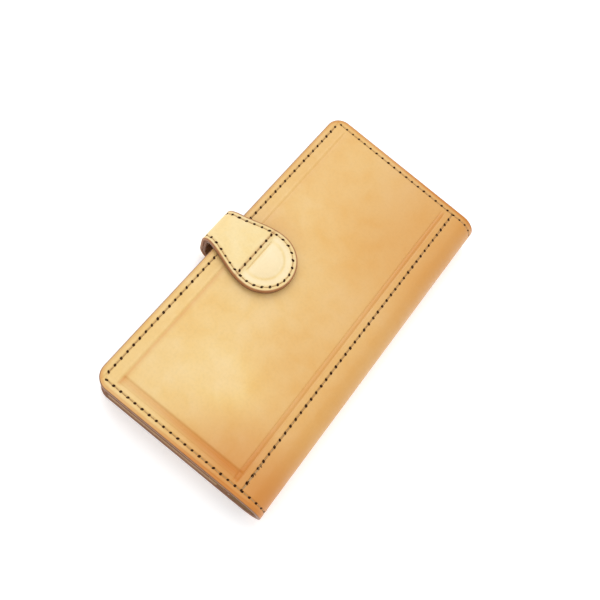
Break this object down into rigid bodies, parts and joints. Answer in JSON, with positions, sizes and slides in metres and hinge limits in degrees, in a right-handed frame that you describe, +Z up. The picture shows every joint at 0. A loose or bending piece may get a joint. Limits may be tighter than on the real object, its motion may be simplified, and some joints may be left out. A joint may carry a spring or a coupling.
{
  "type": "long wallet",
  "caption": "Long bifold leather wallet with card leaves, bill pocket and zipped coin pocket, closed by a strap with a rounded magnetic head.",
  "frame": {"origin": "under the middle of the closed wallet, on the face it rests on", "axes": "+X from the fore-edge and strap to the spine, +Y along the spine, +Z up"},
  "size_m": [0.1054, 0.19, 0.0237],
  "materials": {
    "cover_leather": "satin, vegetable-tanned, pull-up",
    "strap_leather": "satin, pale natural",
    "lining_leather": "matte",
    "pocket_leather": "satin",
    "thread": "waxed",
    "zip_tape": "woven",
    "zip_metal": "antique",
    "closure_steel": "plated"
  },
  "bodies": {
    "back": {"back_cover": "cover_leather", "back_lining": "lining_leather", "bill_welt": "pocket_leather", "bill_gusset_near": "lining_leather", "bill_gusset_far": "lining_leather", "bill_wall": "pocket_leather", "coin_welt": "pocket_leather", "coin_gusset_near": "lining_leather", "coin_gusset_far": "lining_leather", "coin_front_panel": "pocket_leather", "coin_top_strip": "pocket_leather", "coin_spine_wall": "pocket_leather", "zip_tape_lower": "zip_tape", "zip_tape_upper": "zip_tape", "zip_teeth_lower": "zip_metal", "zip_teeth_upper": "zip_metal", "zip_stops": "zip_metal", "back_perimeter_thread": "thread", "back_spine_thread": "thread", "coin_zip_thread": "thread", "strap_tail_outer": "strap_leather", "strap_tail_lining": "lining_leather", "strap_tail_thread": "thread"},
    "slider": {"zip_slider": "zip_metal"},
    "pull": {"zip_pull": "zip_metal"},
    "spine": {"spine_cover": "cover_leather", "spine_lining": "lining_leather", "spine_thread": "thread"},
    "front": {"front_cover": "cover_leather", "front_lining": "lining_leather", "closure_disc": "closure_steel", "card_leaf_near_1": "pocket_leather", "card_leaf_near_2": "pocket_leather", "card_leaf_near_3": "pocket_leather", "card_leaf_near_4": "pocket_leather", "card_leaf_far_1": "pocket_leather", "card_leaf_far_2": "pocket_leather", "card_leaf_far_3": "pocket_leather", "card_leaf_far_4": "pocket_leather", "card_divider_thread": "thread", "front_perimeter_thread": "thread", "front_spine_thread": "thread"},
    "riser": {"strap_riser_outer": "strap_leather", "strap_riser_lining": "lining_leather", "strap_riser_thread": "thread"},
    "head": {"strap_head_outer": "strap_leather", "strap_head_lining": "lining_leather", "strap_magnet": "closure_steel", "strap_head_thread": "thread"}
  },
  "joints": [
    {"name": "spine_fold", "type": "hinge", "parent": "back", "child": "spine", "pos_m": [0.04982, 0, 0.00293], "axis": [0, 1, 0], "range_deg": [0, 90]},
    {"name": "front_fold", "type": "hinge", "parent": "spine", "child": "front", "pos_m": [0.04982, 0, 0.01707], "axis": [0, 1, 0], "range_deg": [0, 90]},
    {"name": "strap_fold", "type": "hinge", "parent": "back", "child": "riser", "pos_m": [-0.0507, 0, 0.00245], "axis": [0, -1, 0], "range_deg": [0, 90]},
    {"name": "strap_head_fold", "type": "hinge", "parent": "riser", "child": "head", "pos_m": [-0.0507, 0, 0.02165], "axis": [0, -1, 0], "range_deg": [0, 90]},
    {"name": "zip_slide", "type": "slide", "parent": "back", "child": "slider", "axis": [0, 1, 0], "range_m": [0, 0.148]},
    {"name": "zip_pull_turn", "type": "hinge", "parent": "slider", "child": "pull", "pos_m": [0.02725, -0.074, 0.0119], "axis": [1, 0, 0], "range_deg": [0, 10]}
  ],
  "couplings": [
    {"joint": "front_fold", "follows": "spine_fold", "ratio": 1},
    {"joint": "strap_head_fold", "follows": "strap_fold", "ratio": 1}
  ]
}
